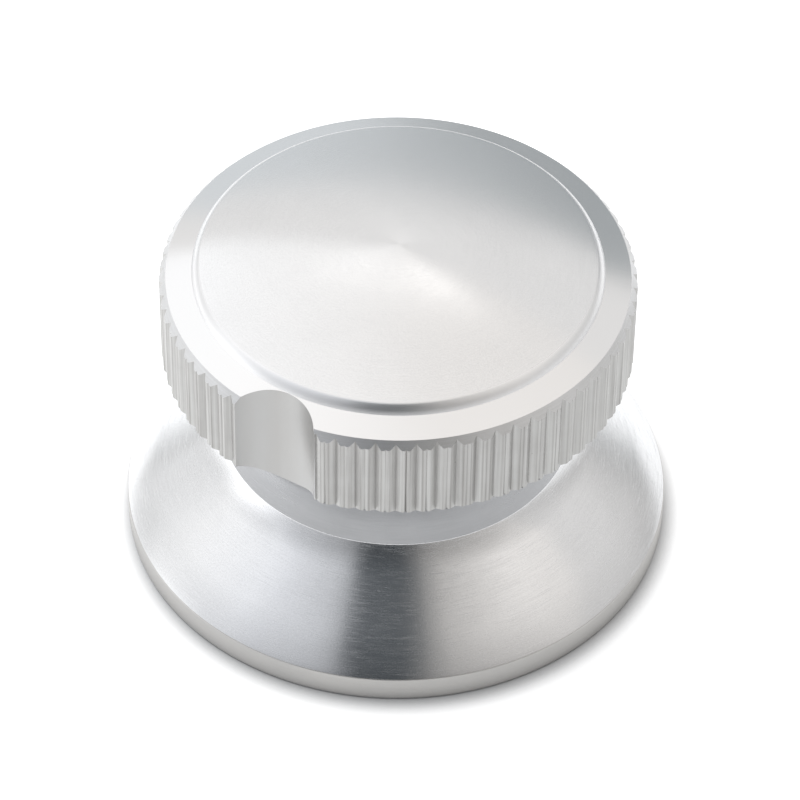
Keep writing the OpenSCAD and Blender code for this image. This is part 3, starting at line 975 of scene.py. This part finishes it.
def pale_floor(studio):
    """Matt pale floor with a faint mottle, lifted to white for the eye and for reflections by a glow. The
    glow falls off along the floor, a painted fall of light, and dims in the corner under the knob, a painted
    shadow on top of the floor's own."""
    material = bpy.data.materials.new("pale floor")
    tree = Tree(material)
    place = tree.put("TexCoord").outputs["Object"]
    mottle = tree.ranged(tree.noise(place, MOTTLE_SCALE), *UNEVEN_SPAN)
    dull = [c * MOTTLE_DULL for c in studio.floor_colour]
    lit_x, lit_y = flat_way(studio.azimuth + studio.shadow_turn)
    lit_from = tree.vector("NORMALIZE", (lit_x * studio.shadow_lean, lit_y * studio.shadow_lean, 1))
    sockets = {"Distance": studio.shadow_reach, "Normal": lit_from}
    # Painted shadow: the glow dims where the knob hides part of a hemisphere tilted away from the camera and
    # a little to the left
    corner = tree.put("AmbientOcclusion", sockets, samples=SHADOW_SAMPLES).outputs["AO"]
    # Painted fall of light: the glow is brightest away from the camera on the left and dimmest towards it on
    # the right
    along = tree.vector("DOT_PRODUCT", place, (*flat_way(studio.azimuth + studio.fall_turn), 0))
    most, least = studio.floor_lift * studio.fall_start, studio.floor_lift * studio.fall_end
    lift = tree.ranged(along, -studio.fall_reach, studio.fall_reach, most, least)
    tree.shade(SHADER, {
        "Base Color": tree.mixed(mottle, studio.floor_colour, dull),
        "Roughness": 0.9,
        "Specular IOR Level": 0.1,
        "Emission Color": (1, 1, 1),
        "Emission Strength": tree.times(eye_rays(tree), lift, tree.ranged(corner, *SHADOW_EDGE)),
    })
    return material


class Tent:
    """World of the light tent, by direction in the camera's own heading (x right, y away, z up). Places on
    the roof are x and y over z, and places on the walls are degrees from the camera, to the right."""

    # Least height for which places on the roof are worked out
    LEAST_Z = 0.05
    # Places across between which the roof and the back turn from their left to their right colour
    ROOF_BLEND, BACK_BLEND = (-0.55, 0.12), (-0.6, 0.6)
    # Places away between which the roof dims, towards the camera and towards its far edge
    FRONT_FADE, ROOF_FADE = (0.15, -0.3), (0.1, 0.7)
    # Heights between which the dimming towards the camera sets in
    FRONT_HEIGHTS = (0.8, 0.93)
    # Soft far edges of the roof and of the strip, on either side of their ends
    ROOF_SOFT, STRIP_SOFT = (-0.04, 0.1), (-0.12, 0.2)
    # Angles to either side between which the strip gives way to the back
    BACK_ANGLES = (120, 150)
    # Angles between which the left and the right wall change, and their levels there
    LEFT_WALL, RIGHT_WALL = (-66, -24, 1.0, 0.47), (15, 66, 0.44, 0.98)
    # Band of angles of the cool wall at the front left
    COOL_BAND = (-100, -60, -10, 0)
    # Heights between which the front wall's dimming sets in, and angles to either side between which it ends
    LOW_HEIGHTS, LOW_ANGLES = (0.72, 0.4), (55, 110)
    # Other dim parts of the walls: the setting, the heights between which it sets in, whether its angles turn
    # to the right or lie off to either side, and its band of angles
    DIM_PARTS = (
        ("side_dim", (0.5, 0.15), "off", (78, 112, 130, 152)),
        ("upper_dim", (0.5, 0.72), "turn", (-95, -75, -52, -35)),
        ("right_dim", (0.28, 0.1), "turn", (55, 85, 125, 145)),
        ("left_dim", (0.62, 0.45), "turn", (-150, -125, -78, -62)),
    )
    # Angle of the low lamp, the angles from it between which it ends, and the heights between which it ends
    LAMP_ANGLE, LAMP_EDGES, LAMP_HEIGHTS = -88, (4, 26), (0.12, 0.34)
    # How far the dark opening widens upwards on each side, and the heights between which it does
    CARD_WIDENS, CARD_HEIGHTS = 5, (0.58, 0.72)
    # Width of the opening's right soft edge over its left one, and the heights between which it ends
    CARD_SOFTER, CARD_TOP = 1.7, (0.87, 1.0)
    # Places across between which the streak ends, its half breadth, and how far inside the roof it lies
    STREAK_ENDS, STREAK_BREADTH, STREAK_INSET = (0.05, 0.23), 0.08, 0.04

    def __init__(self, studio):
        self.studio, self.world = studio, bpy.data.worlds.new("light tent")
        self.tree = tree = Tree(self.world)
        sockets = {"Vector": tree.put("TexCoord").outputs["Generated"], "Rotation": (0, 0, -studio.azimuth)}
        heading = tree.put("Mapping", sockets, vector_type="POINT").outputs[0]
        parts = tree.put("SeparateXYZ", {0: heading}).outputs
        self.z = tree.maths("MAXIMUM", parts["Z"], self.LEAST_Z)
        self.over, self.away = [tree.maths("DIVIDE", parts[axis], self.z) for axis in "XY"]
        self.turn = tree.maths("DEGREES", tree.maths("ARCTAN2", parts["X"], tree.times(parts["Y"], -1.0)))
        self.off = tree.maths("ABSOLUTE", self.turn)
        self.edge = tree.times_plus(self.over, studio.roof_skew, self.away)
        self.high = tree.ranged(self.z, *self.CARD_TOP, smooth=True)
        strength = tree.times_plus(self.walls(), studio.gain, self.streak())
        tree.shade("Background", {"Color": self.colours(), "Strength": strength})

    def past(self, place, end, soft):
        """1 past an end with a soft edge, and 0 before it."""
        return self.tree.ranged(place, end + soft[0], end + soft[1], smooth=True)

    def colours(self):
        """A roof that is brighter on the left and dims towards the camera and its far edge, a strip behind
        it, a grey back, a cool wall at the front left, and the dark opening that the camera looks through."""
        tree, studio = self.tree, self.studio
        roof = tree.mixed(tree.ranged(self.over, *self.ROOF_BLEND), studio.roof_left, studio.roof_right)
        front = tree.ranged(self.away, *self.FRONT_FADE, 0.0, studio.front_fade)
        front = tree.times(front, tree.ranged(self.z, *self.FRONT_HEIGHTS))
        fade = tree.plus(front, tree.ranged(self.away, *self.ROOF_FADE, 0.0, studio.roof_fade))
        lit = tree.mixed(fade, roof, (0, 0, 0))
        lit = tree.mixed(self.past(self.edge, studio.roof_end, self.ROOF_SOFT), lit, studio.strip)
        back = tree.mixed(tree.ranged(self.over, *self.BACK_BLEND), studio.back_left, studio.back_right)
        strip_edge = tree.times_plus(self.over, studio.strip_skew, self.away)
        far = self.past(strip_edge, studio.strip_end, self.STRIP_SOFT)
        lit = tree.mixed(tree.times(far, tree.ranged(self.off, *self.BACK_ANGLES, smooth=True)), lit, back)
        lit = tree.mixed(tree.band(self.turn, *self.COOL_BAND), lit, studio.left_wall)
        return tree.mixed(self.beside_card(), studio.card, lit)

    def beside_card(self):
        """0 in the dark opening, which is wider higher up, and 1 beside and above it."""
        tree, studio, soft = self.tree, self.studio, math.degrees(self.studio.card_soft)
        left, right = -math.degrees(studio.card_left), math.degrees(studio.card_right)
        wider = tree.ranged(self.z, *self.CARD_HEIGHTS, 0.0, self.CARD_WIDENS)
        open_left = tree.ranged(tree.plus(self.turn, wider), left, left - soft, smooth=True)
        right_turn = tree.maths("SUBTRACT", self.turn, wider)
        open_right = tree.ranged(right_turn, right, right + soft * self.CARD_SOFTER, smooth=True)
        return tree.maths("MAXIMUM", tree.maths("MAXIMUM", open_left, open_right), self.high)

    def walls(self):
        """Level of the walls, which dim towards the camera, towards the floor and in single parts, with a low
        lamp on the left, and of the roof, which is 1."""
        tree, studio = self.tree, self.studio
        left, right = tree.ranged(self.turn, *self.LEFT_WALL), tree.ranged(self.turn, *self.RIGHT_WALL)
        low = tree.ranged(self.z, *self.LOW_HEIGHTS, 0.0, studio.low_dim, True)
        low = tree.times(low, tree.ranged(self.off, *self.LOW_ANGLES, 1.0, 0.0))
        dims = [
            tree.times(tree.ranged(self.z, *heights, 0.0, getattr(studio, setting)),
                       tree.band(getattr(self, angles), *band))
            for setting, heights, angles, band in self.DIM_PARTS
        ]
        wall = tree.times(tree.maths("MAXIMUM", left, right), tree.left_of_one(low))
        wall = tree.times(wall, tree.left_of_one(tree.plus(*dims)))
        lamp_off = tree.maths("ABSOLUTE", tree.maths("SUBTRACT", self.turn, self.LAMP_ANGLE))
        lamp = tree.times(tree.ranged(lamp_off, *self.LAMP_EDGES, studio.lamp, 0.0, True),
                          tree.ranged(self.z, *self.LAMP_HEIGHTS, 1.0, 0.0, True))
        wall = tree.plus(wall, lamp)
        return tree.times_plus(tree.left_of_one(wall), self.high, wall)

    def streak(self):
        """Light of the bright middle of the roof's far edge."""
        tree, studio = self.tree, self.studio
        middle = tree.ranged(tree.maths("ABSOLUTE", self.over), *self.STREAK_ENDS, 1.0, 0.0, True)
        line = studio.roof_end - self.STREAK_INSET
        near = tree.maths("ABSOLUTE", tree.maths("SUBTRACT", self.edge, line))
        return tree.times(middle, tree.ranged(near, 0.0, self.STREAK_BREADTH, studio.streak, 0.0, True))


class KNOB_OT_turned_body(bpy.types.Operator):
    """Build the knurled body with its skirt, neck, domed top, notch, bore and screw hole"""

    bl_idname = "knob.turned_body"
    bl_label = "Turned body"

    def execute(self, context):
        form, finish = context.scene.knob_form, context.scene.knob_finish
        piece = mesh_object("turned_body", *body_mesh(form))
        fine, rough = (finish.aluminium, finish.stain), (finish.rough_turned, finish.rough_stain)
        bright, dull = (finish.bright, finish.aluminium), (finish.stain, finish.rough_turned)
        # The neck, rim, knurl and notch tones hold painted shade
        neck, rim = (finish.neck, finish.neck_stain), (finish.rim, finish.rough_stain)
        rolled, milled = (finish.rolled, finish.rolled_stain), (finish.milled, finish.rough_stain)
        lathe = {"pitch": finish.line_pitch, "depth": finish.line_depth}
        even_shine = {"lines_show": 0.3, "patch_show": 0.2}
        skins = {
            "bore": turned_metal("drilled aluminium", finish, rough, 0.34, pitch=0.12 * MM, depth=0.002 * MM),
            "rim": turned_metal("turned rim", finish, rim, 0.36, specks=0.03, **lathe),
            "skirt": turned_metal(
                "turned skirt", finish, fine, finish.skirt_roughness, duller_radii=(11.5 * MM, 17 * MM), sparkle=2.5,
                lines_show=0.4, patch_show=0.4, marks=0.12, **lathe
            ),
            "neck": turned_metal("turned neck", finish, neck, 0.3, grain=0.4, rising=True, **lathe),
            "knurl": upright_metal(
                "rolled knurl", finish, rolled, finish.knurl_roughness, streak=0.16 * MM, depth=0.0012 * MM
            ),
            "chamfer": turned_metal("turned chamfer", finish, dull, 0.45, grain=0.3, **lathe),
            "ring": turned_metal("turned ring", finish, bright, 0.16, **even_shine, **lathe),
            "edge": turned_metal("turned edge", finish, bright, finish.edge_roughness, **even_shine, **lathe),
            "dome": turned_metal(
                "turned dome", finish, fine, finish.dome_roughness, sparkle=2.0, lines_show=0.15,
                patch_show=0.2, pitch=finish.line_pitch, depth=0.5 * finish.line_depth
            ),
            "notch": upright_metal("milled notch", finish, milled, 0.36, streak=1.5 * MM, depth=0.0003 * MM),
        }
        for zone in ZONES:
            piece.data.materials.append(skins[zone])
        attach(piece, "root")
        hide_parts("knob_body")
        return {"FINISHED"}


class KNOB_OT_set_screw(bpy.types.Operator):
    """Build the threaded set screw with its key socket and cup point"""

    bl_idname = "knob.set_screw"
    bl_label = "Set screw"

    def execute(self, context):
        piece = mesh_object("grub_screw", *screw_mesh(context.scene.knob_screw, SCREW_LOW, SCREW_HIGH))
        piece.data.materials.append(blackened_steel(context.scene.knob_finish))
        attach(piece, "root")
        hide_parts("set_screw")
        return {"FINISHED"}


class KNOB_OT_stage(bpy.types.Operator):
    """Set up the floor, the light tent and the camera"""

    bl_idname = "knob.stage"
    bl_label = "Stage"

    def execute(self, context):
        scene, studio = context.scene, context.scene.knob_studio
        half = studio.floor_size / 2
        corners = np.array([[-half, -half, 0], [half, -half, 0], [half, half, 0], [-half, half, 0]])
        floor = mesh_object("floor", corners - (0, 0, FLOOR_DROP), [(0, np.array([[0, 1, 2, 3]]))])
        floor.data.materials.append(pale_floor(studio))
        scene.world = Tent(studio).world
        scene.view_settings.view_transform = "Standard"

        a, e, roll = studio.azimuth, studio.elevation, studio.roll
        right = Vector((math.cos(a), math.sin(a), 0))
        back = Vector((math.sin(a) * math.cos(e), -math.cos(a) * math.cos(e), math.sin(e)))
        up = back.cross(right)
        across = math.cos(roll) * right + math.sin(roll) * up
        eye = right * studio.aim_x + Vector((0, 0, studio.aim_z)) + back * studio.distance
        lens = bpy.data.cameras.new("camera")
        lens.lens, lens.sensor_width, lens.sensor_fit = studio.lens, studio.film, "HORIZONTAL"
        lens.clip_start = CLIP_START
        camera = bpy.data.objects.new("camera", lens)
        turn = Matrix((across, back.cross(across), back)).transposed()
        camera.matrix_world = Matrix.Translation(eye) @ turn.to_4x4()
        scene.collection.objects.link(camera)
        scene.camera = camera
        return {"FINISHED"}


class KNOB_PT_panel(bpy.types.Panel):
    """Lists the knob's pieces and its sizes"""

    bl_label = "Control knob"
    bl_idname = "KNOB_PT_panel"
    bl_space_type = "VIEW_3D"
    bl_region_type = "UI"
    bl_category = "Knob"

    def draw(self, context):
        for group, operator in PANEL_ROWS:
            box = self.layout.box()
            settings = getattr(context.scene, group)
            for key in settings.__annotations__:
                box.prop(settings, key)
            if operator:
                box.operator(operator)


PANEL_ROWS = (
    ("knob_finish", None),
    ("knob_form", KNOB_OT_turned_body.bl_idname),
    ("knob_screw", KNOB_OT_set_screw.bl_idname),
    ("knob_studio", KNOB_OT_stage.bl_idname),
)
GROUPS = {
    "knob_form": KNOB_PG_form,
    "knob_screw": KNOB_PG_screw,
    "knob_finish": KNOB_PG_finish,
    "knob_studio": KNOB_PG_studio,
}
CLASSES = (*GROUPS.values(), KNOB_OT_turned_body, KNOB_OT_set_screw, KNOB_OT_stage, KNOB_PT_panel)


def register():
    """Adds the classes and their settings to Blender."""
    for each in CLASSES:
        bpy.utils.register_class(each)
    for name, group in GROUPS.items():
        setattr(bpy.types.Scene, name, PointerProperty(type=group))


def unregister():
    """Takes the settings and the classes out again."""
    for name in GROUPS:
        delattr(bpy.types.Scene, name)
    for each in reversed(CLASSES):
        bpy.utils.unregister_class(each)


def main():
    """Builds the pieces and the stage."""
    register()
    bpy.ops.knob.turned_body()
    bpy.ops.knob.set_screw()
    bpy.ops.knob.stage()


if __name__ == "__main__":
    main()
